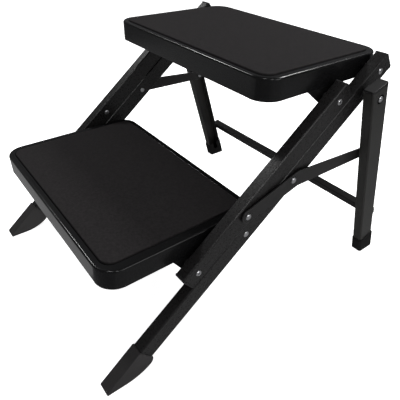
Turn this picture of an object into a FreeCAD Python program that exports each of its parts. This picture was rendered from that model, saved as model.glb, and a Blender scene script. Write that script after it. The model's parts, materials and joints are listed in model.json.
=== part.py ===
"""Folding two-step stool: two sloping stringer tubes carry two pressed steel treads.

A pair of link rails lies on the stringers and folds the treads as parallel links. A cranked
lever on each side turns with them, and its roller runs in the open channel of the rear leg,
so that the rear legs swing in as the treads fold up.

Millimetres, +X to the user's right, +Y to the back, +Z up. The origin is on the floor, in
the middle of the footprint.
"""

import math
import os

import FreeCAD
import Part

V = FreeCAD.Vector
X_AXIS = V(1, 0, 0)
ORIGIN = V(0, 0, 0)

# ---- driving dimensions -------------------------------------------------------------
stringer_angle = 38.25        # slope of the stringers above the floor, degrees
floor_y = -288.0              # where a stringer's centre line would meet the floor
tube_depth = 32.0             # stringer and rail section, across the slope
tube_inner_x = 210.0          # inner and outer faces of the stringers and rails
tube_outer_x = 230.0
tube_wall = 1.5
tube_corner = 2.5
stringer_start = 48.0         # distances along a stringer from its floor point
stringer_end = 645.0
rail_start = 192.0
rail_end = 559.0
plug_flange = 5.0             # flanges over the ends of the stringers and rails
plug_rounding = 4.5
plug_stem = 5.5
rail_plug_flange = 4.0
rail_plug_rounding = 3.8
rail_plug_stem = 8.0
plug_inset = 0.2              # plug stems are this much smaller than their tube, all round
foot_collar = 66.0            # upper edge of a front foot, along the stringer
foot_proud = 1.2              # its sleeve stands out from the stringer by this much
foot_stem = 30.0              # how far its stem reaches into the stringer
rail_gap = 0.3                # rail rests this far off the stringer's front face

lower_rear_pivot = 300.8      # along the stringer
lever_pivot = 409.6
upper_rear_pivot = 626.7
link_run = 88.6               # rail pivots sit this far down the slope from their partners

tread_half_width = 203.0
tread_wall = 1.8
tread_corner = 32.0
tread_edge_round = 3.2
apron_height = 34.0
hem_width = 8.0
mat_corner = 20.0
mat_thickness = 3.5
mat_recess = 1.5              # pressed seat for the mat
mat_groove = 1.2              # gap around the mat in its seat
lower_tread = {"top": 204.5, "front": 133.8, "depth": 265.0, "lug_front": 26.0, "lug_back": 9.0,
               "mat_front": 12.0, "mat_side": 16.0, "mat_back": 12.0}
upper_tread = {"top": 408.0, "front": 130.5, "depth": 257.0, "lug_front": 42.0, "lug_back": 15.0,
               "mat_front": 10.5, "mat_side": 13.0, "mat_back": 13.0}

bracket_thickness = 3.0
lug_radius = 13.0
lug_root = 44.0               # the lug meets the bracket's strip this far behind the front pivot
lug_overlap = 2.0
strip_rise = 3.0              # the strip's lower edge rises this much to its back end

lever_reach = 175.5           # lever pivot to roller, and lever pivot to leg pivot
leg_pivot_angle = 37.1        # direction of the leg pivot from the lever pivot, degrees
leg_lean = 17.4               # rear leg from the vertical, degrees
lever_front_half = 11.5
lever_knee_half = 13.5
lever_knee_shift = 10.0       # the wide part of the knee sits behind the lever's pivot
lever_rear_half = 9.3
lever_inner_x = 232.2
lever_outer_x = 234.8

leg_inner_x = 241.4
leg_outer_x = 259.4
leg_depth = 35.6
leg_wall = 1.8
leg_corner = 3.0
leg_top = 17.0                # channel above the leg pivot
leg_cap_thickness = 4.0
foot_height = 40.0
foot_wall = 2.0
foot_sole = 6.0
foot_fit = 0.05
roller_radius = 15.7
roller_inner_x = 243.4
roller_outer_x = 255.4
roller_rounding = 1.0
foot_notch_half = 5.6         # opening in the foot cup that the roller's pin passes
foot_notch_bottom = 19.5
cap_stem = 7.0

crossbar_size = 15.5
crossbar_wall = 1.4
crossbar_corner = 1.5
crossbar_plug_flange = 1.5
crossbar_plug_stem = 10.0
crossbar_half_length = 249.0
crossbar_drop = 289.0         # along the leg below its pivot

pin_radius = 3.0
bore_clearance = 0.05
head_radius = 4.8
head_height = 1.5
pin_head_height = 1.3
pin_clip_radius = 4.4
pin_clip_height = 1.6
tubular_bore = 1.9            # blind hole in a tubular rivet's outer head
tubular_depth = 6.0
washer_radius = 6.5
spacer_radius = 6.0
play = 0.1                    # side play between parts that turn on each other

# ---- places worked out from them ----------------------------------------------------
slope = math.radians(stringer_angle)
rail_offset = tube_depth + rail_gap
bore_radius = pin_radius + bore_clearance
apron_inner_x = tread_half_width - tread_wall
bracket_inner_x = apron_inner_x - bracket_thickness


def on_slope(along, offset=0.0):
    """Y and Z of a point given along a stringer and square to it, towards the front."""
    y = floor_y + along * math.cos(slope) - offset * math.sin(slope)
    z = along * math.sin(slope) + offset * math.cos(slope)
    return y, z


def polar(centre, distance, angle):
    """Point at a distance and an angle, in degrees above +Y, from a centre."""
    a = math.radians(angle)
    return centre[0] + distance * math.cos(a), centre[1] + distance * math.sin(a)


LOWER_FRONT = on_slope(lower_rear_pivot - link_run, rail_offset)
LOWER_REAR = on_slope(lower_rear_pivot)
LEVER_FRONT = on_slope(lever_pivot - link_run, rail_offset)
LEVER_PIVOT = on_slope(lever_pivot)
UPPER_FRONT = on_slope(upper_rear_pivot - link_run, rail_offset)
UPPER_REAR = on_slope(upper_rear_pivot)
LEG_PIVOT = polar(LEVER_PIVOT, lever_reach, leg_pivot_angle)
# The lever pivot, the leg pivot and the roller form a triangle with two equal sides, so the
# leg turns through exactly half the lever's angle.
base_angle = (270 + leg_lean) - (leg_pivot_angle + 180)
ROLLER = polar(LEVER_PIVOT, lever_reach, leg_pivot_angle - (180 - 2 * base_angle))


# ---- shape helpers ------------------------------------------------------------------
def mirrored(shape):
    """The same shape on the other side of the stool."""
    return shape.mirror(ORIGIN, X_AXIS)


def box(x0, x1, y0, y1, z0, z1):
    return Part.makeBox(x1 - x0, y1 - y0, z1 - z0, V(x0, y0, z0))


def disc(centre, radius, x0, x1):
    """Round bar along X through a (y, z) centre."""
    return Part.makeCylinder(radius, x1 - x0, V(x0, centre[0], centre[1]), X_AXIS)


def plate(points, x0, x1):
    """Straight-sided plate from a list of (y, z) corners."""
    wire = Part.makePolygon([V(x0, y, z) for y, z in points + points[:1]])
    return Part.Face(wire).extrude(V(x1 - x0, 0, 0))


def round_edges(shape, radius, wanted):
    edges = [e for e in shape.Edges if wanted(e)]
    return shape.makeFillet(radius, edges)


def runs_along(edge, axis):
    """True for a straight edge that is parallel to an axis."""
    if edge.Curve.TypeId != "Part::GeomLine":
        return False
    direction = edge.Vertexes[-1].Point - edge.Vertexes[0].Point
    return direction.normalize().cross(axis).Length < 1e-6


def rounded_bar(x0, x1, y0, y1, z0, z1, radius, axis=V(0, 1, 0)):
    """Box with the four edges along an axis rounded."""
    return round_edges(box(x0, x1, y0, y1, z0, z1), radius, lambda e: runs_along(e, axis))


def tapered_arm(a, b, radius_a, radius_b, x0, x1):
    """Flat bar with round ends of two radii, along X between two faces."""
    gap = math.hypot(b[0] - a[0], b[1] - a[1])
    turn = math.acos((radius_a - radius_b) / gap)
    heading = math.atan2(b[1] - a[1], b[0] - a[0])
    corners = []
    for centre, radius, side in ((a, radius_a, 1), (b, radius_b, 1), (b, radius_b, -1), (a, radius_a, -1)):
        corners.append(polar(centre, radius, math.degrees(heading + side * turn)))
    return plate(corners, x0, x1).fuse(disc(a, radius_a, x0, x1)).fuse(disc(b, radius_b, x0, x1))


def joined(shapes):
    """One clean solid out of overlapping shapes."""
    solid = shapes[0].fuse(shapes[1:]) if len(shapes) > 1 else shapes[0]
    return solid.removeSplitter()


def cut_holes(shape, centres, radius, x0, x1):
    for centre in centres:
        shape = shape.cut(disc(centre, radius, x0, x1))
    return shape


def to_slope(shape):
    """Moves a shape drawn with Y along the stringer and Z square to it."""
    shape.rotate(ORIGIN, X_AXIS, stringer_angle)
    shape.translate(V(0, floor_y, 0))
    return shape


def to_leg(shape):
    """Moves a shape drawn with Z up the leg, Y to its back and its pivot at the origin."""
    shape.rotate(ORIGIN, X_AXIS, leg_lean)
    shape.translate(V(0, LEG_PIVOT[0], LEG_PIVOT[1]))
    return shape


# ---- stringers and link rails -------------------------------------------------------
def hollow_tube(start, end, offset, centres):
    half = tube_depth / 2
    outer = rounded_bar(tube_inner_x, tube_outer_x, start, end, offset - half, offset + half, tube_corner)
    inner = box(tube_inner_x + tube_wall, tube_outer_x - tube_wall, start, end,
                offset - half + tube_wall, offset + half - tube_wall)
    tube = to_slope(outer.cut(inner))
    return cut_holes(tube, centres, bore_radius, tube_inner_x - 1, tube_outer_x + 1)


def stringer():
    return hollow_tube(stringer_start, stringer_end, 0,
                       [LOWER_REAR, LEVER_PIVOT, UPPER_REAR, LEG_PIVOT])


def link_rail():
    return hollow_tube(rail_start, rail_end, rail_offset, [LOWER_FRONT, LEVER_FRONT, UPPER_FRONT])


def tube_plug(end, outward, offset, flange, rounding, length):
    """Moulded plug: a flange over the tube's end and a stem inside it."""
    half = tube_depth / 2
    tip = end + outward * flange
    cap = box(tube_inner_x, tube_outer_x, min(end, tip), max(end, tip), offset - half, offset + half)
    cap = round_edges(cap, rounding, lambda e: runs_along(e, X_AXIS)
                      and abs(e.Vertexes[0].Point.y - tip) < 1e-6)
    inset = tube_wall + plug_inset
    root = end - outward * length
    stem = box(tube_inner_x + inset, tube_outer_x - inset, min(end, root), max(end, root),
               offset - half + inset, offset + half - inset)
    return to_slope(joined([cap, stem]))


def stringer_plug():
    return tube_plug(stringer_end, 1, 0, plug_flange, plug_rounding, plug_stem)


def rail_plugs():
    return [tube_plug(end, outward, rail_offset, rail_plug_flange, rail_plug_rounding, rail_plug_stem)
            for end, outward in ((rail_start, -1), (rail_end, 1))]


def front_foot():
    """Moulded shoe: a sleeve over the stringer's end that tapers down to a thin flat toe."""
    half = tube_depth / 2
    heel = on_slope(foot_collar, -half - foot_proud)
    shin = on_slope(foot_collar, half + foot_proud)
    toe_top = (floor_y - 18.9, 5.0)
    toe = (floor_y - 17.5, 0.0)
    sole_end = (floor_y + 14.0, 0.0)
    sole_curve = (floor_y + 36.9, 3.9)
    heel_start = (floor_y + 56.5, 13.6)
    heel_curve = (floor_y + 61.2, 19.6)
    inner_x = tube_inner_x - foot_proud

    def at(point):
        return V(inner_x, point[0], point[1])

    edges = [
        Part.makeLine(at(shin), at(toe_top)),
        Part.makeLine(at(toe_top), at(toe)),
        Part.makeLine(at(toe), at(sole_end)),
        Part.Arc(at(sole_end), at(sole_curve), at(heel_start)).toShape(),
        Part.Arc(at(heel_start), at(heel_curve), at(heel)).toShape(),
        Part.makeLine(at(heel), at(shin)),
    ]
    width = tube_outer_x - tube_inner_x + 2 * foot_proud
    shoe = Part.Face(Part.Wire(edges)).extrude(V(width, 0, 0))
    socket = rounded_bar(tube_inner_x, tube_outer_x, stringer_start, foot_collar + 1, -half, half, tube_corner)
    inset = tube_wall + plug_inset
    stem = box(tube_inner_x + inset, tube_outer_x - inset, stringer_start - 1, stringer_start + foot_stem,
               -half + inset, half - inset)
    return joined([shoe.cut(to_slope(socket)), to_slope(stem)])


# ---- treads -------------------------------------------------------------------------
def rounded_slab(half_x, y0, y1, z0, z1, corner):
    return rounded_bar(-half_x, half_x, y0, y1, z0, z1, corner, V(0, 0, 1))


def tread_span(tread, front_pivot):
    front = front_pivot[0] - tread["front"]
    return front, front + tread["depth"]


def tread_cavity(tread, front_pivot, bottom):
    """The space inside a pan, down to a given height."""
    front, back = tread_span(tread, front_pivot)
    return rounded_slab(apron_inner_x, front + tread_wall, back - tread_wall, bottom,
                        tread["top"] - tread_wall, tread_corner - tread_wall)


def tread_pan(tread, front_pivot, rear_pivot):
    """Pressed steel pan, open below, with a shallow seat for its mat and hems front and back."""
    front, back = tread_span(tread, front_pivot)
    top = tread["top"]
    bottom = top - apron_height
    outer = rounded_slab(tread_half_width, front, back, bottom, top, tread_corner)
    outer = round_edges(outer, tread_edge_round, lambda e: abs(e.BoundBox.ZMin - top) < 1e-6)
    inner = tread_cavity(tread, front_pivot, bottom - 1)
    seat = mat_outline(tread, front_pivot, mat_groove, top - mat_recess, top + 1)
    seat_underside = mat_outline(tread, front_pivot, mat_groove + tread_wall,
                                 top - mat_recess - tread_wall, top - tread_wall)
    pan = outer.cut(seat).cut(inner.cut(seat_underside))
    hem_half = tread_half_width - tread_corner
    for y0, y1 in ((front + tread_wall / 2, front + tread_wall + hem_width),
                   (back - tread_wall - hem_width, back - tread_wall / 2)):
        pan = pan.fuse(box(-hem_half, hem_half, y0, y1, bottom, bottom + tread_wall))
    pan = cut_holes(pan.removeSplitter(), [rear_pivot], bore_radius, -250, 250)
    return pan


def mat_outline(tread, front_pivot, grow, z0, z1):
    """Slab of the mat's outline, made larger all round by a margin."""
    front, back = tread_span(tread, front_pivot)
    return rounded_slab(tread_half_width - tread["mat_side"] + grow, front + tread["mat_front"] - grow,
                        back - tread["mat_back"] + grow, z0, z1, mat_corner + grow)


def tread_mat(tread, front_pivot):
    """Non-slip pad bonded into the seat of the pan."""
    bottom = tread["top"] - mat_recess
    pad = mat_outline(tread, front_pivot, 0, bottom, bottom + mat_thickness)
    return round_edges(pad, 1.0, lambda e: abs(e.BoundBox.ZMin - bottom - mat_thickness) < 1e-6)


def tread_bracket(tread, front_pivot, rear_pivot):
    """Steel plate inside the apron with a lug that hangs below it to the rail's pivot."""
    ceiling = tread["top"] - tread_wall - tread_edge_round
    apron_bottom = tread["top"] - apron_height
    fy, fz = front_pivot
    back_edge = rear_pivot[0] + tread["lug_back"]
    strip = plate([(fy - tread["lug_front"], apron_bottom), (fy + lug_root, apron_bottom),
                   (back_edge, apron_bottom + strip_rise), (back_edge, ceiling),
                   (fy - tread["lug_front"], ceiling)], bracket_inner_x, apron_inner_x)
    heading = math.atan2(apron_bottom - fz, -tread["lug_front"])
    reach = math.hypot(apron_bottom - fz, tread["lug_front"])
    front_tangent = heading + math.acos(lug_radius / reach)
    lug = plate([polar(front_pivot, lug_radius, math.degrees(front_tangent)),
                 (fy - tread["lug_front"], apron_bottom), (fy - tread["lug_front"], apron_bottom + lug_overlap),
                 (fy + lug_root, apron_bottom + lug_overlap), (fy + lug_root, apron_bottom),
                 polar(front_pivot, lug_radius, -60.0)], bracket_inner_x, apron_inner_x)
    boss = disc(front_pivot, lug_radius, bracket_inner_x, apron_inner_x)
    blank = joined([strip, lug, boss]).common(tread_cavity(tread, front_pivot, 0))
    return cut_holes(blank, [front_pivot, rear_pivot], bore_radius, bracket_inner_x - 1, apron_inner_x + 1)


# ---- levers -------------------------------------------------------------------------
def lever():
    """Cranked flat bar: rail pivot, stringer pivot and roller pin."""
    knee = (LEVER_PIVOT[0] + lever_knee_shift, LEVER_PIVOT[1])
    front = tapered_arm(LEVER_FRONT, knee, lever_front_half, lever_knee_half, lever_inner_x, lever_outer_x)
    rear = tapered_arm(knee, ROLLER, lever_knee_half, lever_rear_half, lever_inner_x, lever_outer_x)
    return cut_holes(joined([front, rear]), [LEVER_FRONT, LEVER_PIVOT, ROLLER], bore_radius,
                     lever_inner_x - 1, lever_outer_x + 1)


def roller_pin():
    """Stud fixed in the lever's end, headed on the inner side."""
    tip = roller_outer_x + pin_clip_height
    shank = disc(ROLLER, pin_radius, lever_inner_x, tip)
    head = disc(ROLLER, head_radius, lever_inner_x - pin_head_height, lever_inner_x)
    collar = disc(ROLLER, head_radius, lever_outer_x, roller_inner_x - play)
    clip = disc(ROLLER, pin_clip_radius, roller_outer_x + play, tip)
    return joined([shank, head, collar, clip])


def roller():
    body = disc(ROLLER, roller_radius, roller_inner_x, roller_outer_x)
    body = round_edges(body, roller_rounding, lambda e: e.Curve.TypeId == "Part::GeomCircle")
    return body.cut(disc(ROLLER, bore_radius, roller_inner_x - 1, roller_outer_x + 1))


# ---- rear legs ----------------------------------------------------------------------
def leg_floor_drop():
    """Distance down the leg's centre line from its pivot to the floor."""
    return LEG_PIVOT[1] / math.cos(math.radians(leg_lean))


def above_floor(shape, height):
    """Trims a leg part to what is above a height."""
    return shape.cut(box(-300, 300, -600, 900, -200, height))


def leg_bar(grow, bottom, top):
    """Solid bar of the leg's section, grown all round, with rounded corners on its outer side."""
    half = leg_depth / 2 + grow
    bar = rounded_bar(leg_inner_x - 10, leg_outer_x + grow, -half, half, bottom, top, leg_corner, V(0, 0, 1))
    return bar.cut(box(leg_inner_x - 20, leg_inner_x - grow, -half - 1, half + 1, bottom - 1, top + 1))


def rear_leg():
    """Steel channel, open on its inner side."""
    half = leg_depth / 2
    bottom = -leg_floor_drop() - half
    outer = leg_bar(0, bottom, leg_top)
    inner = box(leg_inner_x - 1, leg_outer_x - leg_wall, -half + leg_wall, half - leg_wall, bottom - 1, leg_top + 1)
    channel = above_floor(to_leg(outer.cut(inner)), foot_sole)
    return cut_holes(channel, [LEG_PIVOT], bore_radius, leg_inner_x, leg_outer_x + 1)


def leg_cap():
    """Plug in the top of the channel."""
    half = leg_depth / 2
    top = leg_bar(0, leg_top, leg_top + leg_cap_thickness)
    inset = leg_wall + plug_inset
    stem = box(leg_inner_x + plug_inset, leg_outer_x - inset, -half + inset, half - inset,
               leg_top - cap_stem, leg_top)
    return to_leg(joined([top, stem]))


def rear_foot():
    """Rubber cup on the leg's end, level underneath, notched on its inner side for the roller pin."""
    half = leg_depth / 2
    bottom = -leg_floor_drop()
    outer = rounded_bar(leg_inner_x - foot_wall, leg_outer_x + foot_wall, -half - foot_wall, half + foot_wall,
                        bottom - 2 * half, bottom + foot_height, leg_corner + foot_wall - 1, V(0, 0, 1))
    socket = leg_bar(foot_fit, bottom - 2 * half, bottom + foot_height + 1)
    socket = above_floor(to_leg(socket), foot_sole)
    notch = box(leg_inner_x - 10, leg_inner_x + 1, -foot_notch_half, foot_notch_half,
                bottom + foot_notch_bottom, bottom + foot_height + 1)
    cup = above_floor(to_leg(outer), 0).cut(socket)
    return cup.cut(to_leg(notch))


def crossbar():
    """Square tube welded across the back faces of both legs."""
    half = crossbar_size / 2
    y = leg_depth / 2 + half
    bar = rounded_bar(-crossbar_half_length, crossbar_half_length, y - half, y + half,
                      -crossbar_drop - half, -crossbar_drop + half, crossbar_corner, X_AXIS)
    inner = half - crossbar_wall
    hollow = box(-crossbar_half_length - 1, crossbar_half_length + 1, y - inner, y + inner,
                 -crossbar_drop - inner, -crossbar_drop + inner)
    return to_leg(bar.cut(hollow))


def crossbar_plug():
    """Plug in the right-hand end of the crossbar."""
    half = crossbar_size / 2
    y = leg_depth / 2 + half
    end = crossbar_half_length
    cap = rounded_bar(end, end + crossbar_plug_flange, y - half, y + half,
                      -crossbar_drop - half, -crossbar_drop + half, crossbar_corner, X_AXIS)
    inner = half - crossbar_wall - plug_inset
    stem = box(end - crossbar_plug_stem, end, y - inner, y + inner, -crossbar_drop - inner, -crossbar_drop + inner)
    return to_leg(joined([cap, stem]))


# ---- rivets and washers -------------------------------------------------------------
def domed_head(centre, x, outward, radius=head_radius, height=head_height):
    """Low rivet head on a face at x."""
    x0, x1 = sorted((x, x + outward * height))
    head = disc(centre, radius, x0, x1)
    return round_edges(head, height * 0.75, lambda e: e.Curve.TypeId == "Part::GeomCircle"
                       and abs(e.BoundBox.XMin - (x + outward * height)) < 1e-6)


def rivet(centre, x_in, x_out, tubular=False):
    """Rivet from one outer face to another; a tubular one has a blind hole in its outer head."""
    shank = disc(centre, pin_radius, x_in, x_out)
    body = joined([shank, domed_head(centre, x_in, -1), domed_head(centre, x_out, 1)])
    if tubular:
        body = body.cut(disc(centre, tubular_bore, x_out - tubular_depth, x_out + head_height + 1))
    return body


def washer(centre, x0, x1, radius=washer_radius):
    return disc(centre, radius, x0, x1).cut(disc(centre, bore_radius, x0 - 1, x1 + 1))


def pair(*solids):
    """A right-hand set and its mirror image, as separate solids in one node."""
    return Part.makeCompound(list(solids) + [mirrored(s) for s in solids])


# ---- output -------------------------------------------------------------------------
def sided(name, shape):
    return {name + "_right": shape, name + "_left": mirrored(shape)}


def build():
    head_gap = bracket_inner_x - play
    nodes = {}
    nodes.update(sided("stringer", stringer()))
    nodes.update(sided("stringer_top_plug", stringer_plug()))
    nodes.update(sided("front_foot", front_foot()))
    nodes.update(sided("link_rail", link_rail()))
    nodes["link_rail_plugs"] = pair(*rail_plugs())
    for name, tread, front_pivot, rear_pivot in (("lower", lower_tread, LOWER_FRONT, LOWER_REAR),
                                                 ("upper", upper_tread, UPPER_FRONT, UPPER_REAR)):
        nodes[name + "_tread_pan"] = tread_pan(tread, front_pivot, rear_pivot)
        nodes[name + "_tread_mat"] = tread_mat(tread, front_pivot)
        nodes.update(sided(name + "_tread_bracket", tread_bracket(tread, front_pivot, rear_pivot)))
        nodes[name + "_front_pivot_rivets"] = pair(rivet(front_pivot, head_gap, tube_outer_x, tubular=True))
        nodes[name + "_front_pivot_spacers"] = pair(
            washer(front_pivot, apron_inner_x + play, tube_inner_x - play, radius=spacer_radius))
        nodes[name + "_rear_pivot_rivets"] = pair(rivet(rear_pivot, head_gap, tube_outer_x))
        nodes[name + "_rear_pivot_spacers"] = pair(
            washer(rear_pivot, tread_half_width + play, tube_inner_x - play, radius=spacer_radius))
    nodes.update(sided("fold_lever", lever()))
    nodes["lever_front_rivets"] = pair(rivet(LEVER_FRONT, tube_inner_x, lever_outer_x + play))
    nodes["lever_centre_rivets"] = pair(rivet(LEVER_PIVOT, tube_inner_x, lever_outer_x + play))
    nodes["lever_front_washers"] = pair(washer(LEVER_FRONT, tube_outer_x, lever_inner_x - play))
    nodes["lever_centre_washers"] = pair(washer(LEVER_PIVOT, tube_outer_x, lever_inner_x - play))
    nodes["roller_pins"] = pair(roller_pin())
    nodes["leg_rollers"] = pair(roller())
    nodes.update(sided("rear_leg", rear_leg()))
    nodes.update(sided("rear_leg_cap", leg_cap()))
    nodes.update(sided("rear_foot", rear_foot()))
    nodes["rear_crossbar"] = crossbar()
    nodes["crossbar_plugs"] = pair(crossbar_plug())
    nodes["leg_pivot_rivets"] = pair(rivet(LEG_PIVOT, tube_inner_x, leg_outer_x + play))
    nodes["leg_pivot_spacers"] = pair(washer(LEG_PIVOT, tube_outer_x, leg_outer_x - leg_wall - play))
    return nodes


def main():
    os.makedirs("parts", exist_ok=True)
    for name, shape in build().items():
        shape.exportStep(os.path.join("parts", name + ".step"))
    for label, place in (("lower_front", LOWER_FRONT), ("lower_rear", LOWER_REAR),
                         ("lever_front", LEVER_FRONT), ("lever_pivot", LEVER_PIVOT),
                         ("upper_front", UPPER_FRONT), ("upper_rear", UPPER_REAR),
                         ("leg_pivot", LEG_PIVOT), ("roller", ROLLER)):
        print(f"{label}: y {place[0]:.4f} z {place[1]:.4f}")


if __name__ == "__main__":
    main()
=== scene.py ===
"""Folding steel step stool: the finished look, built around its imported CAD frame.

Metres, +X to the user's right, +Y to the back, +Z up, with the origin on the floor.
"""

import json
import math

import bmesh
import bpy
from mathutils import Matrix, Vector


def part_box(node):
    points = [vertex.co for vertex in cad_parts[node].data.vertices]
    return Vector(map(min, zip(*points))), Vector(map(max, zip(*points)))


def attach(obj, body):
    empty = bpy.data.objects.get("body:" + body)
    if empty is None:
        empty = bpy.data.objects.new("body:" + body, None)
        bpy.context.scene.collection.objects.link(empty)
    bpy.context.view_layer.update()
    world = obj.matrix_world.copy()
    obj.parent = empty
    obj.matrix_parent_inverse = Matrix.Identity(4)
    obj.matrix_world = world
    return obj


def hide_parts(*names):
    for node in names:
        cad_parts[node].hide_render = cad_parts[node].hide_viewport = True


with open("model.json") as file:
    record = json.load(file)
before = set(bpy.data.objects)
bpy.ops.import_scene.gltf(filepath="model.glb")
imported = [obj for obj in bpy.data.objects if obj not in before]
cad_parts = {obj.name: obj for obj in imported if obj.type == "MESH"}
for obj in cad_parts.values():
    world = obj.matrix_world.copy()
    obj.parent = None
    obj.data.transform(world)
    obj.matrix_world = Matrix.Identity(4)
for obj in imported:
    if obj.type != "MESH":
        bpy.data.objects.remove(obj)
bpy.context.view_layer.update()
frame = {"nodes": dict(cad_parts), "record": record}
bpy.ops.object.select_all(action="DESELECT")


# ---- Studio -------------------------------------------------------------------------
# A pale, evenly lit floor that the coats don't mirror, and a white backdrop all round. Small
# softboxes are caught by the edges of the treads and tubes, and two dim bounce panels on
# the floor, which the camera doesn't see, give the aprons and outer sides a soft sheen.

camera_data = bpy.data.cameras.new("studio_camera")
camera_data.sensor_width = 36.0
camera_data.lens = 37.44
camera = bpy.data.objects.new("studio_camera", camera_data)
bpy.context.scene.collection.objects.link(camera)
camera_right = Vector((0.60504, 0.79588, 0.02236))
camera_back = Vector((0.63677, -0.50056, 0.58648))
camera_up = camera_back.cross(camera_right)
camera_axes = Matrix((camera_right, camera_up, camera_back)).transposed().to_4x4()
camera.matrix_world = Matrix.Translation((0.56497, -0.40587, 0.59706)) @ camera_axes
bpy.context.scene.camera = camera

bpy.context.scene.view_settings.view_transform = "Standard"
bpy.context.scene.view_settings.look = "None"

world = bpy.data.worlds.new("studio_air")
world.use_nodes = True
world_nodes, world_links = world.node_tree.nodes, world.node_tree.links
world_nodes["Background"].inputs["Color"].default_value = (0.97, 0.98, 1.0, 1.0)
air_glow = 0.13
backdrop_glow = 0.97
world_ray = world_nodes.new("ShaderNodeLightPath")
backdrop = world_nodes.new("ShaderNodeMapRange")
backdrop.inputs["To Min"].default_value = air_glow
backdrop.inputs["To Max"].default_value = backdrop_glow
world_links.new(world_ray.outputs["Is Camera Ray"], backdrop.inputs["Value"])
world_links.new(backdrop.outputs["Result"], world_nodes["Background"].inputs["Strength"])
bpy.context.scene.world = world


def add_softbox(name, place, target, size, watts, glare=True):
    """Square area light that points at a target, with or without a reflection in the coats."""
    data = bpy.data.lights.new(name, "AREA")
    data.shape = "SQUARE"
    data.size = size
    data.energy = watts
    lamp = bpy.data.objects.new(name, data)
    bpy.context.scene.collection.objects.link(lamp)
    lamp.visible_glossy = glare
    lamp.visible_camera = False
    aim = Vector(target) - Vector(place)
    lamp.matrix_world = Matrix.Translation(place) @ aim.to_track_quat("-Z", "Y").to_matrix().to_4x4()


stool_middle = (0.0, 0.0, 0.2)
add_softbox("back_softbox", (0.1, 1.7, 2.2), stool_middle, 0.4, 40.0)
add_softbox("left_softbox", (-1.7, -0.4, 2.0), stool_middle, 0.3, 22.0)
add_softbox("front_softbox", (1.0, -1.3, 2.5), stool_middle, 0.3, 13.0)
add_softbox("edge_softbox", (2.0, -0.6, 1.45), (0.2, 0.0, 0.2), 0.25, 7.0)
add_softbox("overhead_softbox", (0.1, 0.2, 2.4), (0.0, 0.1, 0.0), 2.0, 11.0, glare=False)
add_softbox("right_fill", (2.4, 0.5, 0.9), (0.2, 0.2, 0.2), 1.0, 14.0)
add_softbox("front_bounce", (-0.65, -0.75, 0.004), (-0.65, -0.75, 1.0), 1.3, 1.5)
add_softbox("right_bounce", (0.95, 0.35, 0.004), (0.95, 0.35, 1.0), 1.4, 0.8)

bpy.ops.mesh.primitive_plane_add(size=16.0, location=(0, 0, 0))
studio_floor = bpy.context.active_object
studio_floor.name = "studio_floor"
floor_paint = bpy.data.materials.new("floor_paint")
floor_paint.use_nodes = True
floor_bsdf = floor_paint.node_tree.nodes["Principled BSDF"]
floor_bsdf.inputs["Base Color"].default_value = (0.92, 0.92, 0.92, 1.0)
floor_bsdf.inputs["Roughness"].default_value = 0.9
floor_bsdf.inputs["Specular IOR Level"].default_value = 0.1
floor_bsdf.inputs["Emission Color"].default_value = (1.0, 1.0, 1.0, 1.0)
floor_bsdf.inputs["Emission Strength"].default_value = 0.88
studio_floor.data.materials.append(floor_paint)
studio_floor.visible_glossy = False


# ---- Stringers and link rails -------------------------------------------------------
# Rectangular steel tube, 32 by 20 mm, sawn to length and given a satin black powder coat.
# The rails lie on the front faces of the stringers and lift off them as the stool folds.


def new_group(name, inputs, outputs):
    """Empty shader group with number inputs and the given outputs."""
    group = bpy.data.node_groups.new(name, "ShaderNodeTree")
    for label, value in inputs:
        socket = group.interface.new_socket(label, in_out="INPUT", socket_type="NodeSocketFloat")
        socket.default_value = value
    for label, kind in outputs:
        group.interface.new_socket(label, in_out="OUTPUT", socket_type=kind)
    return group, group.nodes.new("NodeGroupInput"), group.nodes.new("NodeGroupOutput")


def make_grain_group():
    """Fine grain over a broader orange peel as a height, and a slow cloudiness as a mask."""
    group, entry, out = new_group(
        "surface_grain",
        [("Grain Scale", 900.0), ("Peel Scale", 260.0), ("Peel Share", 0.5), ("Cloud Scale", 14.0)],
        [("Height", "NodeSocketFloat"), ("Cloud", "NodeSocketFloat")])
    nodes, links = group.nodes, group.links
    coords = nodes.new("ShaderNodeTexCoord")
    noises = {}
    for label, detail in (("Grain Scale", 3.0), ("Peel Scale", 1.0), ("Cloud Scale", 4.0)):
        noise = nodes.new("ShaderNodeTexNoise")
        noise.inputs["Detail"].default_value = detail
        links.new(coords.outputs["Object"], noise.inputs["Vector"])
        links.new(entry.outputs[label], noise.inputs["Scale"])
        noises[label] = noise.outputs["Fac"]
    height = nodes.new("ShaderNodeMix")
    links.new(entry.outputs["Peel Share"], height.inputs["Factor"])
    links.new(noises["Grain Scale"], height.inputs["A"])
    links.new(noises["Peel Scale"], height.inputs["B"])
    links.new(height.outputs["Result"], out.inputs["Height"])
    links.new(noises["Cloud Scale"], out.inputs["Cloud"])
    return group


# How far the rounded normal agrees with the flat one where edges are left unmarked and where they take the
# full edge grey, which is partly worn coat and partly a painted highlight.
unmarked_bend = 0.99
full_mark_bend = 0.75


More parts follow.
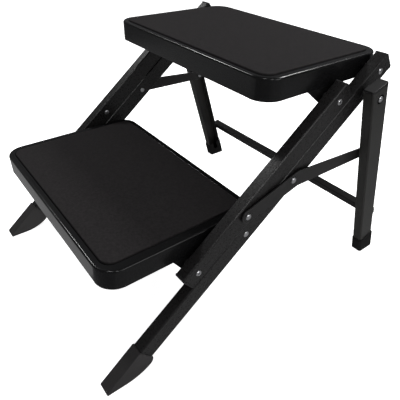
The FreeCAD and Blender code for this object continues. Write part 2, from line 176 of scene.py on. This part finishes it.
def make_edge_group():
    """Mask that is high along edges, in broken stretches: partly a coat rubbed thin, partly a painted
    highlight.
    """
    group, entry, out = new_group("edge_wear_and_highlight", [("Width", 0.0012), ("Breakup", 60.0)],
                                  [("Mask", "NodeSocketFloat")])
    nodes, links = group.nodes, group.links
    bevel = nodes.new("ShaderNodeBevel")
    bevel.samples = 4
    geometry = nodes.new("ShaderNodeNewGeometry")
    dot = nodes.new("ShaderNodeVectorMath")
    dot.operation = "DOT_PRODUCT"
    coords = nodes.new("ShaderNodeTexCoord")
    noise = nodes.new("ShaderNodeTexNoise")
    ramp = nodes.new("ShaderNodeMapRange")
    ramp.inputs["From Min"].default_value = unmarked_bend
    ramp.inputs["From Max"].default_value = full_mark_bend
    product = nodes.new("ShaderNodeMath")
    product.operation = "MULTIPLY"
    links.new(entry.outputs["Width"], bevel.inputs["Radius"])
    links.new(bevel.outputs["Normal"], dot.inputs[0])
    links.new(geometry.outputs["Normal"], dot.inputs[1])
    links.new(dot.outputs["Value"], ramp.inputs["Value"])
    links.new(coords.outputs["Object"], noise.inputs["Vector"])
    links.new(entry.outputs["Breakup"], noise.inputs["Scale"])
    links.new(ramp.outputs["Result"], product.inputs[0])
    links.new(noise.outputs["Fac"], product.inputs[1])
    links.new(product.outputs["Value"], out.inputs["Mask"])
    return group


surface_grain = make_grain_group()
edge_wear_and_highlight = make_edge_group()
relief_strength = 0.6


def make_finish(name, color, light_color, roughness, spread, grain, bump, metallic=0.0, specular=0.5,
                rub_and_highlight=0.0, cloud_scale=14.0):
    """Material that clouds from a colour towards a lighter one, with grain, and with edges lightened partly
    by wear and partly by a painted highlight.

    Grain is the scale of the fine grain, that of the orange peel, and the share of the peel.
    Spread is how far the roughness clouds to either side; the grey along edges stands partly for worn coat
    and partly for a painted highlight.
    """
    material = bpy.data.materials.new(name)
    material.use_nodes = True
    nodes, links = material.node_tree.nodes, material.node_tree.links
    bsdf = nodes["Principled BSDF"]
    bsdf.inputs["Metallic"].default_value = metallic
    bsdf.inputs["Specular IOR Level"].default_value = specular
    surface = nodes.new("ShaderNodeGroup")
    surface.name = "surface"
    surface.node_tree = surface_grain
    surface.inputs["Grain Scale"].default_value = grain[0]
    surface.inputs["Peel Scale"].default_value = grain[1]
    surface.inputs["Peel Share"].default_value = grain[2]
    surface.inputs["Cloud Scale"].default_value = cloud_scale
    tint = nodes.new("ShaderNodeMix")
    tint.name = "tint"
    tint.data_type = "RGBA"
    tint.inputs["A"].default_value = (*color, 1.0)
    tint.inputs["B"].default_value = (*light_color, 1.0)
    links.new(surface.outputs["Cloud"], tint.inputs["Factor"])
    base = tint.outputs["Result"]
    # Edges are lightened towards a grey: partly worn coat, partly a painted highlight along the edges.
    if rub_and_highlight:
        rub_and_highlight_mask = nodes.new("ShaderNodeGroup")
        rub_and_highlight_mask.node_tree = edge_wear_and_highlight
        lift = nodes.new("ShaderNodeMix")
        lift.data_type = "RGBA"
        lift.inputs["B"].default_value = (rub_and_highlight, rub_and_highlight, rub_and_highlight, 1.0)
        links.new(rub_and_highlight_mask.outputs["Mask"], lift.inputs["Factor"])
        links.new(base, lift.inputs["A"])
        base = lift.outputs["Result"]
    links.new(base, bsdf.inputs["Base Color"])
    gloss = nodes.new("ShaderNodeMapRange")
    gloss.name = "gloss"
    gloss.inputs["To Min"].default_value = roughness - spread
    gloss.inputs["To Max"].default_value = roughness + spread
    links.new(surface.outputs["Cloud"], gloss.inputs["Value"])
    links.new(gloss.outputs["Result"], bsdf.inputs["Roughness"])
    relief = nodes.new("ShaderNodeBump")
    relief.name = "relief"
    relief.inputs["Distance"].default_value = bump
    relief.inputs["Strength"].default_value = relief_strength
    links.new(surface.outputs["Height"], relief.inputs["Height"])
    links.new(relief.outputs["Normal"], bsdf.inputs["Normal"])
    return material


node_body = {node: body for body, nodes in frame["record"]["behaviour"]["bodies"].items() for node in nodes}


def hand_over(piece, node, material):
    """Gives a finished piece its material and puts it in the place of a CAD node."""
    piece.data.materials.clear()
    piece.data.materials.append(material)
    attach(piece, node_body[node])
    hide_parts(node)


def pick_only(*pieces):
    """Selects these objects alone and makes the first one active."""
    bpy.ops.object.select_all(action="DESELECT")
    for piece in pieces:
        piece.select_set(True)
    bpy.context.view_layer.objects.active = pieces[0]


smooth_below = math.radians(45.0)
flat_within = math.radians(1.0)
merge_distance = 0.00001


def soften(piece, width, segments, angle=30.0):
    """Rounds a piece's sharp edges and shades its flats flat and its curves smooth."""
    pick_only(piece)
    bevel = piece.modifiers.new("edge_radius", "BEVEL")
    bevel.width = width
    bevel.segments = segments
    bevel.limit_method = "ANGLE"
    bevel.angle_limit = math.radians(angle)
    bevel.use_clamp_overlap = False
    bevel.miter_outer = "MITER_ARC"
    bpy.ops.object.modifier_apply(modifier=bevel.name)
    bpy.ops.object.shade_smooth_by_angle(angle=smooth_below)
    weighted = piece.modifiers.new("flat_faces", "WEIGHTED_NORMAL")
    weighted.keep_sharp = True
    bpy.ops.object.modifier_apply(modifier=weighted.name)


def finished_copy(node, material, width, segments=2):
    """Copy of a CAD node with its triangles merged into faces and its edges rounded."""
    piece = bpy.data.objects.new(node + "_finished", frame["nodes"][node].data.copy())
    bpy.context.scene.collection.objects.link(piece)
    pick_only(piece)
    bpy.ops.object.mode_set(mode="EDIT")
    bpy.ops.mesh.select_all(action="SELECT")
    bpy.ops.mesh.remove_doubles(threshold=merge_distance)
    bpy.ops.mesh.dissolve_limited(angle_limit=flat_within)
    bpy.ops.object.mode_set(mode="OBJECT")
    soften(piece, width, segments)
    hand_over(piece, node, material)


# The light grey along the tube edges is partly rubbed coat and partly a painted highlight.
tube_coat = make_finish("tube_coat", (0.0015, 0.0014, 0.0014), (0.0145, 0.0137, 0.0138), 0.3, 0.12,
                        (1500.0, 420.0, 0.55), 0.0003, specular=0.3, rub_and_highlight=0.12, cloud_scale=380.0)
for side in ("left", "right"):
    finished_copy("stringer_" + side, tube_coat, 0.0004)
    finished_copy("link_rail_" + side, tube_coat, 0.0004)


# ---- Tube ends ----------------------------------------------------------------------
# Moulded black plastic plugs pressed into the upper ends of the stringers and into both
# ends of the rails, flush with the coat around them.

plug_plastic = make_finish("plug_plastic", (0.006, 0.0058, 0.006), (0.009, 0.0087, 0.009), 0.38, 0.06,
                           (1800.0, 500.0, 0.3), 0.00008, specular=0.35)
for side in ("left", "right"):
    finished_copy("stringer_top_plug_" + side, plug_plastic, 0.0006, 3)
finished_copy("link_rail_plugs", plug_plastic, 0.0006, 3)


# ---- Tread pans ---------------------------------------------------------------------
# Sheet steel pressed in one stroke: a shallow seat for the mat, a rounded rim and a deep
# apron, hemmed along the front and back. The coat is smoother and glossier than the tubes'.


def select_faces(piece, wanted):
    """Selects the faces of a piece in edit mode that pass a test on their middle and normal."""
    bpy.ops.mesh.select_mode(type="FACE")
    bpy.ops.mesh.select_all(action="DESELECT")
    mesh = bmesh.from_edit_mesh(piece.data)
    for face in mesh.faces:
        face.select_set(wanted(face.calc_center_median(), face.normal))
    mesh.select_flush_mode()
    bmesh.update_edit_mesh(piece.data)


def select_edges(piece, wanted):
    """Selects the edges of a piece in edit mode that pass a test on their two ends."""
    bpy.ops.mesh.select_mode(type="EDGE")
    bpy.ops.mesh.select_all(action="DESELECT")
    mesh = bmesh.from_edit_mesh(piece.data)
    for edge in mesh.edges:
        edge.select_set(wanted(edge))
    bmesh.update_edit_mesh(piece.data)


def rounded_sheet(name, low, high, z, corner, segments):
    """Flat sheet with rounded corners, left in edit mode."""
    bpy.ops.object.select_all(action="DESELECT")
    bpy.ops.mesh.primitive_plane_add(size=1.0, location=((low.x + high.x) / 2, (low.y + high.y) / 2, z))
    piece = bpy.context.active_object
    piece.name = name
    bpy.ops.object.mode_set(mode="EDIT")
    bpy.ops.transform.resize(value=(high.x - low.x, high.y - low.y, 1.0))
    bpy.ops.mesh.bevel(offset=corner, offset_type="OFFSET", segments=segments, affect="VERTICES")
    return piece


def place_in_mesh(piece):
    """Leaves edit mode and moves the piece's place into its mesh."""
    bpy.ops.object.mode_set(mode="OBJECT")
    pick_only(piece)
    bpy.ops.object.transform_apply(location=True, rotation=True, scale=True)


sheet_wall = 0.0018
pan_corner = 0.032
seat_gap = 0.0012
seat_depth = 0.0015
seat_slope = 0.0010
rim_radius = 0.0032
seat_radius = 0.0005
hem_width = 0.0085
hem_end = 0.171
hem_radius = 0.0012
pan_middle_reach = 0.05       # faces whose middles lie this near the pan's middle are the seat
rim_reach_x = 0.01            # edges this far in from the sides, or from the front and back, are
rim_reach_y = 0.008           # the seat's and not the rim's
touch = 0.00001
hem_slack = 0.0005
seat_slack = 0.0001
bend = 0.4                    # edges that turn more than this, in radians, take a press radius
sharp_bend = 1.0


def press_pan(tread):
    """One tread pan, pressed to the size of its CAD node."""
    low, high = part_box(tread + "_tread_pan")
    mat_low, mat_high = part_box(tread + "_tread_mat")
    middle = (low + high) / 2

    def in_seat(at, normal):
        return abs(at.x) < pan_middle_reach and abs(at.y - middle.y) < pan_middle_reach

    piece = rounded_sheet(tread + "_tread_pressing", low, high, high.z, pan_corner, 14)
    rim_width = mat_low.x - low.x - seat_gap
    bpy.ops.mesh.inset(thickness=rim_width, depth=0.0)
    bpy.ops.object.mode_set(mode="OBJECT")
    bpy.ops.object.transform_apply(location=True, rotation=True, scale=True)
    bpy.ops.object.mode_set(mode="EDIT")

    # The seat's front and back margins differ from its side margins.
    for front, gap in ((True, mat_low.y - low.y), (False, high.y - mat_high.y)):
        shift = (gap - seat_gap - rim_width) * (1.0 if front else -1.0)
        select_faces(piece, in_seat)
        bpy.ops.mesh.select_mode(type="VERT")
        mesh = bmesh.from_edit_mesh(piece.data)
        for vertex in mesh.verts:
            vertex.select_set(vertex.select and (vertex.co.y < middle.y) == front)
        bmesh.update_edit_mesh(piece.data)
        bpy.ops.transform.translate(value=(0.0, shift, 0.0))
    select_faces(piece, in_seat)
    bpy.ops.mesh.inset(thickness=seat_slope, depth=-seat_depth)

    # The rim's outer edge goes down to make the apron, and then in to make the hems.
    bpy.ops.mesh.select_mode(type="EDGE")
    bpy.ops.mesh.select_all(action="DESELECT")
    bpy.ops.mesh.select_non_manifold(extend=False, use_wire=False, use_multi_face=False,
                                     use_non_contiguous=False, use_verts=False)
    bpy.ops.mesh.extrude_region_move(TRANSFORM_OT_translate={"value": (0.0, 0.0, low.z - high.z)})
    for sign, edge_y in ((1.0, low.y), (-1.0, high.y)):
        select_edges(piece, lambda edge: edge.is_boundary and all(
            abs(end.co.y - edge_y) < hem_slack and abs(end.co.x) < hem_end + 2 * hem_slack
            for end in edge.verts))
        bpy.ops.mesh.extrude_region_move(TRANSFORM_OT_translate={"value": (0.0, sign * hem_width, 0.0)})

    # Press radii: the rim all round, both edges of the seat, and the folds of the hems.
    select_edges(piece, lambda edge: len(edge.link_faces) == 2 and all(
        abs(end.co.z - high.z) < touch for end in edge.verts)
        and any(abs(face.normal.z) < 0.1 for face in edge.link_faces))
    bpy.ops.mesh.bevel(offset=rim_radius, segments=6, affect="EDGES")
    select_edges(piece, lambda edge: len(edge.link_faces) == 2 and all(
        low.x + rim_reach_x < end.co.x < high.x - rim_reach_x
        and low.y + rim_reach_y < end.co.y < high.y - rim_reach_y
        and end.co.z > high.z - seat_depth - seat_slack for end in edge.verts)
        and edge.calc_face_angle() > bend)
    bpy.ops.mesh.bevel(offset=seat_radius, segments=2, affect="EDGES")
    select_edges(piece, lambda edge: len(edge.link_faces) == 2 and all(
        abs(end.co.z - low.z) < touch for end in edge.verts) and edge.calc_face_angle() > sharp_bend)
    bpy.ops.mesh.bevel(offset=hem_radius, segments=3, affect="EDGES")
    place_in_mesh(piece)

    wall = piece.modifiers.new("sheet", "SOLIDIFY")
    wall.thickness = sheet_wall
    wall.offset = -1.0
    wall.use_even_offset = True
    bpy.ops.object.modifier_apply(modifier=wall.name)
    soften(piece, 0.0003, 1, angle=60.0)
    hand_over(piece, tread + "_tread_pan", tread_coat)


tread_coat = make_finish("tread_coat", (0.0026, 0.0026, 0.0028), (0.0042, 0.0042, 0.0044), 0.21, 0.03,
                         (1200.0, 330.0, 0.8), 0.00003, specular=0.25, rub_and_highlight=0.03)
for tread in ("upper", "lower"):
    press_pan(tread)


# ---- Tread brackets -----------------------------------------------------------------
# Laser-cut plates, 3 mm thick, spot-welded inside the side aprons. Each has a lug that
# hangs below the apron to the rail's pivot.

bracket_coat = make_finish("bracket_coat", (0.005, 0.005, 0.0052), (0.008, 0.0079, 0.008), 0.33, 0.05,
                           (1500.0, 420.0, 0.55), 0.00010, specular=0.22, rub_and_highlight=0.05)
for tread in ("upper", "lower"):
    for side in ("left", "right"):
        finished_copy(f"{tread}_tread_bracket_{side}", bracket_coat, 0.0004)


# ---- Tread mats ---------------------------------------------------------------------
# Charcoal foam rubber with a fine pebbled face, die-cut and bonded into the seats of the
# pans. The cutting leaves the upper edge a little rounded.

mat_rubber = make_finish("mat_rubber", (0.007, 0.0064, 0.0067), (0.0235, 0.0214, 0.0221), 0.8, 0.06,
                         (1500.0, 700.0, 0.5), 0.0005, specular=0.08, cloud_scale=260.0)
mat_corner = 0.0185
mat_edge_radius = 0.0014


def cut_mat(tread):
    """One mat with rounded corners and a softened upper edge."""
    low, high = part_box(tread + "_tread_mat")
    piece = rounded_sheet(tread + "_tread_pad", low, high, low.z, mat_corner, 12)
    bpy.ops.mesh.extrude_region_move(TRANSFORM_OT_translate={"value": (0.0, 0.0, high.z - low.z)})
    bpy.ops.mesh.select_mode(type="FACE")
    bpy.ops.mesh.bevel(offset=mat_edge_radius, segments=4, affect="EDGES")
    bpy.ops.mesh.select_all(action="SELECT")
    bpy.ops.mesh.normals_make_consistent(inside=False)
    place_in_mesh(piece)
    soften(piece, 0.0002, 1, angle=60.0)
    hand_over(piece, tread + "_tread_mat", mat_rubber)


for tread in ("upper", "lower"):
    cut_mat(tread)


# ---- Fold levers --------------------------------------------------------------------
# Flat bars, cranked at the knee, that turn on the stringers. A pin in each back end
# carries a nylon roller that runs in the channel of the rear leg.

lever_coat = make_finish("lever_coat", (0.0075, 0.0071, 0.0072), (0.0115, 0.0108, 0.011), 0.36, 0.05,
                         (1500.0, 420.0, 0.55), 0.00010, specular=0.3, rub_and_highlight=0.05)
for side in ("left", "right"):
    finished_copy("fold_lever_" + side, lever_coat, 0.0005, 3)

nylon = make_finish("nylon", (0.011, 0.011, 0.011), (0.017, 0.017, 0.017), 0.42, 0.06,
                    (1600.0, 400.0, 0.3), 0.00006, specular=0.4)
for node in ("leg_rollers", "leg_pivot_spacers", "lower_rear_pivot_spacers", "upper_rear_pivot_spacers",
             "lower_front_pivot_spacers", "upper_front_pivot_spacers"):
    finished_copy(node, nylon, 0.0004)


# ---- Rear legs ----------------------------------------------------------------------
# Roll-formed steel channel, open inwards, with faint lines along it from the rolls. The
# caps in its upper ends and the cups on its lower ends are moulded.


def make_streak_group():
    """Faint lines along a leaning bar, as a mask. Lean is in radians about X."""
    group, entry, out = new_group("rolled_lines", [("Lean", 0.0), ("Across", 420.0), ("Along", 4.0)],
                                  [("Mask", "NodeSocketFloat")])
    nodes, links = group.nodes, group.links
    coords = nodes.new("ShaderNodeTexCoord")
    turn = nodes.new("ShaderNodeVectorRotate")
    turn.rotation_type = "X_AXIS"
    stretch = nodes.new("ShaderNodeVectorMath")
    stretch.operation = "MULTIPLY"
    scales = nodes.new("ShaderNodeCombineXYZ")
    noise = nodes.new("ShaderNodeTexNoise")
    noise.inputs["Scale"].default_value = 1.0
    noise.inputs["Detail"].default_value = 3.0
    links.new(coords.outputs["Object"], turn.inputs["Vector"])
    links.new(entry.outputs["Lean"], turn.inputs["Angle"])
    links.new(turn.outputs["Vector"], stretch.inputs[0])
    for axis, label in (("X", "Across"), ("Y", "Across"), ("Z", "Along")):
        links.new(entry.outputs[label], scales.inputs[axis])
    links.new(scales.outputs["Vector"], stretch.inputs[1])
    links.new(stretch.outputs["Vector"], noise.inputs["Vector"])
    links.new(noise.outputs["Fac"], out.inputs["Mask"])
    return group


rolled_lines = make_streak_group()
leg_lean = math.radians(17.4)


def make_leg_coat():
    """The satin coat over the rolls' lines, which show as lighter and darker streaks."""
    material = make_finish("leg_coat", (0.0085, 0.0084, 0.0078), (0.0135, 0.0132, 0.0122), 0.36, 0.04,
                           (1500.0, 420.0, 0.5), 0.00010, specular=0.35, rub_and_highlight=0.05)
    nodes, links = material.node_tree.nodes, material.node_tree.links
    lines = nodes.new("ShaderNodeGroup")
    lines.node_tree = rolled_lines
    lines.inputs["Lean"].default_value = -leg_lean
    cloud = nodes["surface"].outputs["Cloud"]
    blend = nodes.new("ShaderNodeMix")
    blend.inputs["Factor"].default_value = 0.65
    links.new(cloud, blend.inputs["A"])
    links.new(lines.outputs["Mask"], blend.inputs["B"])
    spread = nodes.new("ShaderNodeMapRange")
    spread.inputs["From Min"].default_value = 0.35
    spread.inputs["From Max"].default_value = 0.65
    links.new(blend.outputs["Result"], spread.inputs["Value"])
    links.new(spread.outputs["Result"], nodes["tint"].inputs["Factor"])
    links.new(spread.outputs["Result"], nodes["gloss"].inputs["Value"])
    return material


leg_coat = make_leg_coat()
for side in ("left", "right"):
    finished_copy("rear_leg_" + side, leg_coat, 0.0004)
    finished_copy("rear_leg_cap_" + side, plug_plastic, 0.0008, 3)


# ---- Crossbar -----------------------------------------------------------------------
# Square tube across the backs of both legs, plugged at its ends and held by a bead of
# weld above and below it on each leg.

bar_coat = make_finish("bar_coat", (0.005, 0.005, 0.005), (0.008, 0.0078, 0.0078), 0.36, 0.05,
                       (1500.0, 420.0, 0.55), 0.00010, specular=0.25, rub_and_highlight=0.05)
finished_copy("rear_crossbar", bar_coat, 0.0003)
finished_copy("crossbar_plugs", plug_plastic, 0.0004, 2)

bead_radius = 0.0019
bead_ripples = 9
bead_dip = 0.86               # width between two ripples, as a share of the bead's
bead_tip = 0.5                # and at its ends
bead_start = 0.001            # from the leg's inner face
bead_end_x = 0.2485
bar_half = 0.0155 / 2


def narrow_bead(piece, at, middle, reach, share):
    """Draws in the ring of a bead that stands at a place along X."""
    bpy.ops.mesh.select_all(action="DESELECT")
    mesh = bmesh.from_edit_mesh(piece.data)
    for vertex in mesh.verts:
        vertex.select_set(abs(vertex.co.x - at) < reach)
    bmesh.update_edit_mesh(piece.data)
    bpy.ops.transform.resize(value=(1.0, share, share), center_override=(at, middle.y, middle.z))


def lay_bead(name, low, high):
    """Rippled bead of weld along X between two ends."""
    bpy.ops.object.select_all(action="DESELECT")
    bpy.ops.mesh.primitive_cylinder_add(
        vertices=10, radius=bead_radius, depth=high.x - low.x, location=(low + high) / 2,
        rotation=(0.0, math.pi / 2, 0.0))
    piece = bpy.context.active_object
    piece.name = name
    place_in_mesh(piece)
    bpy.ops.object.mode_set(mode="EDIT")
    select_edges(piece, lambda edge: abs(edge.verts[0].co.x - edge.verts[1].co.x) > 0.001)
    bpy.ops.mesh.subdivide(number_cuts=2 * bead_ripples - 1)
    step = (high.x - low.x) / (2 * bead_ripples)
    bpy.ops.mesh.select_mode(type="VERT")
    for ring in range(1, 2 * bead_ripples, 2):
        narrow_bead(piece, low.x + ring * step, low, step / 4, bead_dip)
    for end in (low, high):
        narrow_bead(piece, end.x, low, step / 4, bead_tip)
    bpy.ops.object.mode_set(mode="OBJECT")
    rounding = piece.modifiers.new("rounding", "SUBSURF")
    rounding.levels = 1
    rounding.render_levels = 1
    bpy.ops.object.modifier_apply(modifier=rounding.name)
    bpy.ops.object.shade_smooth()
    return piece


leg_low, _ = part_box("rear_leg_right")
bar_low, bar_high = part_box("rear_crossbar")
bar_middle = (bar_low + bar_high) / 2
bead_start_x = leg_low.x + bead_start
leg_up = Vector((0.0, -math.sin(leg_lean), math.cos(leg_lean)))
leg_back = Vector((0.0, math.cos(leg_lean), math.sin(leg_lean)))
for level, sign in (("upper", 1.0), ("lower", -1.0)):
    bead_middle = Vector((0.0, bar_middle.y, bar_middle.z)) - leg_back * bar_half + leg_up * sign * bar_half
    for side, x0, x1 in (("right", bead_start_x, bead_end_x), ("left", -bead_end_x, -bead_start_x)):
        bead = lay_bead(f"crossbar_weld_{level}_{side}", bead_middle + Vector((x0, 0.0, 0.0)),
                        bead_middle + Vector((x1, 0.0, 0.0)))
        bead.data.materials.append(bar_coat)
        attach(bead, "rear_legs")


# ---- Rivets, pins and washers -------------------------------------------------------
# Zinc-plated steel. The rivets have low domed heads on both ends; those at the fronts of
# the treads are tubular, with an open hole in the outer head.

zinc = make_finish("zinc", (0.55, 0.55, 0.56), (0.75, 0.75, 0.77), 0.3, 0.09,
                   (2200.0, 700.0, 0.5), 0.00008, metallic=1.0, cloud_scale=220.0)
dark_zinc = make_finish("dark_zinc", (0.035, 0.035, 0.036), (0.07, 0.07, 0.072), 0.35, 0.08,
                        (2200.0, 700.0, 0.5), 0.00006, metallic=1.0, cloud_scale=180.0)
head_height = 0.0016
shank_radius = 0.003
head_rim = 0.4                # upright part of a head, as a share of its height
dome_steps = ((0.32, 0.86), (0.2, 0.78), (0.08, 0.6))    # further rises, and how each draws in
tubular_top = 0.8
tubular_lip = 0.0022
tubular_depth = 0.004


def pull_along(distance):
    """Extrudes the selected faces along X."""
    bpy.ops.mesh.extrude_region_move(TRANSFORM_OT_translate={"value": (distance, 0.0, 0.0)})


def set_rivets(node, tubular):
    """Right and left rivets of one CAD node as one piece."""
    low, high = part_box(node)
    pair_middle = (low + high) / 2
    head_radius = (high.z - low.z) / 2
    inner_x = min(abs(vertex.co.x) for vertex in frame["nodes"][node].data.vertices)
    shank_start = inner_x + head_height
    shank_end = high.x - head_height
    bpy.ops.object.select_all(action="DESELECT")
    bpy.ops.mesh.primitive_cylinder_add(
        vertices=40, radius=shank_radius, depth=shank_end - shank_start,
        location=((shank_start + shank_end) / 2, pair_middle.y, pair_middle.z),
        rotation=(0.0, math.pi / 2, 0.0))
    piece = bpy.context.active_object
    piece.name = node + "_set"
    place_in_mesh(piece)
    bpy.ops.object.mode_set(mode="EDIT")
    for sign in (1.0, -1.0):
        select_faces(piece, lambda at, normal: normal.x * sign > 0.9)
        spread = head_radius / shank_radius
        pull_along(0.0)
        bpy.ops.transform.resize(value=(1.0, spread, spread))
        pull_along(sign * head_height * head_rim)
        if tubular and sign > 0:
            pull_along(head_height * (1.0 - head_rim))
            bpy.ops.transform.resize(value=(1.0, tubular_top, tubular_top))
            bpy.ops.mesh.inset(thickness=tubular_lip, depth=0.0)
            pull_along(-tubular_depth)
        else:
            for rise, shrink in dome_steps:
                pull_along(sign * head_height * rise)
                bpy.ops.transform.resize(value=(1.0, shrink, shrink))
    bpy.ops.mesh.select_all(action="SELECT")
    bpy.ops.mesh.normals_make_consistent(inside=False)
    bpy.ops.object.mode_set(mode="OBJECT")
    soften(piece, 0.00018, 2, angle=25.0)
    bpy.ops.object.mode_set(mode="EDIT")
    bpy.ops.mesh.select_all(action="SELECT")
    bpy.ops.mesh.duplicate()
    bpy.ops.transform.resize(value=(-1.0, 1.0, 1.0), center_override=(0.0, pair_middle.y, pair_middle.z))
    bpy.ops.mesh.flip_normals()
    bpy.ops.object.mode_set(mode="OBJECT")
    hand_over(piece, node, zinc)


for tread in ("upper", "lower"):
    set_rivets(tread + "_front_pivot_rivets", tubular=True)
    set_rivets(tread + "_rear_pivot_rivets", tubular=False)
for place in ("lever_front", "lever_centre", "leg_pivot"):
    set_rivets(place + "_rivets", tubular=False)
finished_copy("roller_pins", zinc, 0.0003)
for place in ("lever_front", "lever_centre"):
    finished_copy(place + "_washers", dark_zinc, 0.0002)


# ---- Feet ---------------------------------------------------------------------------
# The front feet are moulded plastic shoes that sleeve the stringers and taper to a flat
# toe. The rear feet are softer rubber cups pushed over the channels.

foot_plastic = make_finish("foot_plastic", (0.018, 0.0168, 0.0171), (0.027, 0.0255, 0.026), 0.5, 0.06,
                           (1300.0, 420.0, 0.35), 0.00016, specular=0.24, rub_and_highlight=0.045)
foot_rubber = make_finish("foot_rubber", (0.0032, 0.0031, 0.0031), (0.0055, 0.0053, 0.0053), 0.62, 0.06,
                          (1100.0, 420.0, 0.4), 0.00018, specular=0.1, rub_and_highlight=0.03)
for side in ("left", "right"):
    finished_copy("front_foot_" + side, foot_plastic, 0.0009, 3)
    finished_copy("rear_foot_" + side, foot_rubber, 0.0018, 4)
